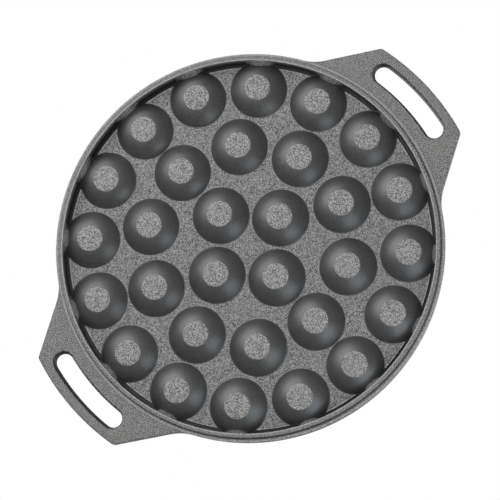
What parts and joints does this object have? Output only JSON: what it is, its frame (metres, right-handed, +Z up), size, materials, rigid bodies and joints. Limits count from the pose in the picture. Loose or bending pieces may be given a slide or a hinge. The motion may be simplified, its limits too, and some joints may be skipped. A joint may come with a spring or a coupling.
{
  "type": "poffertjes pan",
  "caption": "Round cast-iron griddle pan with rings of small round wells for puffy pancakes, a foot ring underneath and a slotted loop handle on each side",
  "frame": {"origin": "centre of the underside, on the plane that the foot ring stands on", "axes": "+X from the pan's centre to the right-hand handle, +Z up, wells opening upwards"},
  "size_m": [0.373, 0.3054, 0.022],
  "materials": {
    "web_plate": "grainy sand-cast grey iron, matt",
    "well_cups": "smoother dark cast iron with a ground flat underneath, satin",
    "foot_ring": "sand-cast grey iron with a bare rubbed edge, satin",
    "raised_rim": "sand-cast grey iron, matt",
    "handles": "grainy sand-cast grey iron, matt"
  },
  "bodies": {
    "root": {"web_plate": "web_plate", "outer_well_cups": "well_cups", "middle_well_cups": "well_cups", "inner_well_cups": "well_cups", "foot_ring": "foot_ring", "raised_rim": "raised_rim", "left_handle": "handles", "right_handle": "handles"}
  },
  "joints": []
}
